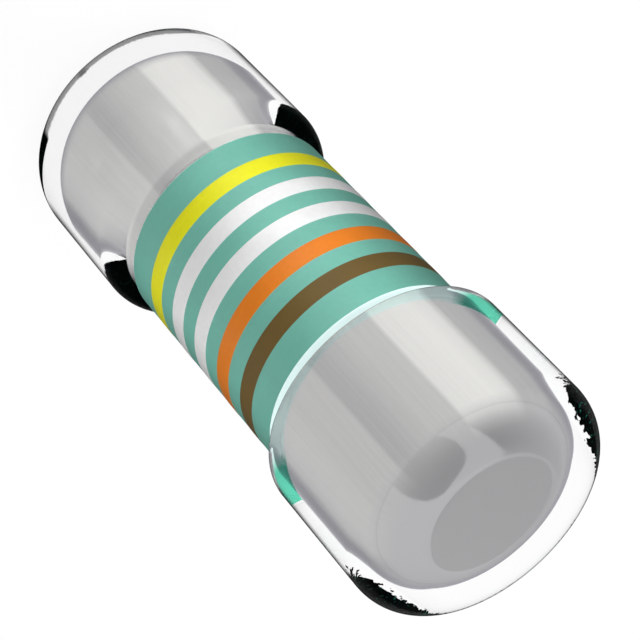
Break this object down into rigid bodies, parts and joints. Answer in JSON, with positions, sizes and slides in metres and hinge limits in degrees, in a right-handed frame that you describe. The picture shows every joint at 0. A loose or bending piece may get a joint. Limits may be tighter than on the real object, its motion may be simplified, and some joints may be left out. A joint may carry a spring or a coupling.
{
  "type": "melf resistor",
  "caption": "Cylindrical leadless film resistor with a teal lacquered body, colour bands and a metal end cap in a clear rounded cover at each end.",
  "frame": {"origin": "middle of the flat lower end face, which the part stands on", "axes": "+Z along the resistor's axis, from the yellow band's end to the brown band's end; X and Y across it"},
  "size_m": [0.0014, 0.0014, 0.0036],
  "materials": {
    "alumina": "matte white fired ceramic",
    "metal_film": "thin sputtered metal film, satin",
    "plated_steel": "tin-plated steel, satin",
    "clear_cover": "clear and glossy",
    "teal_lacquer": "smooth lacquer, low gloss",
    "yellow_print": "printed band",
    "white_print": "printed band",
    "orange_print": "printed band",
    "brown_print": "printed band"
  },
  "bodies": {
    "root": {"ceramic_rod": "alumina", "resistive_film": "metal_film", "lower_end_cap": "plated_steel", "upper_end_cap": "plated_steel", "lower_clear_cover": "clear_cover", "upper_clear_cover": "clear_cover", "lacquer_coating": "teal_lacquer", "band_yellow": "yellow_print", "band_white_1": "white_print", "band_white_2": "white_print", "band_orange": "orange_print", "band_brown": "brown_print"}
  },
  "joints": []
}
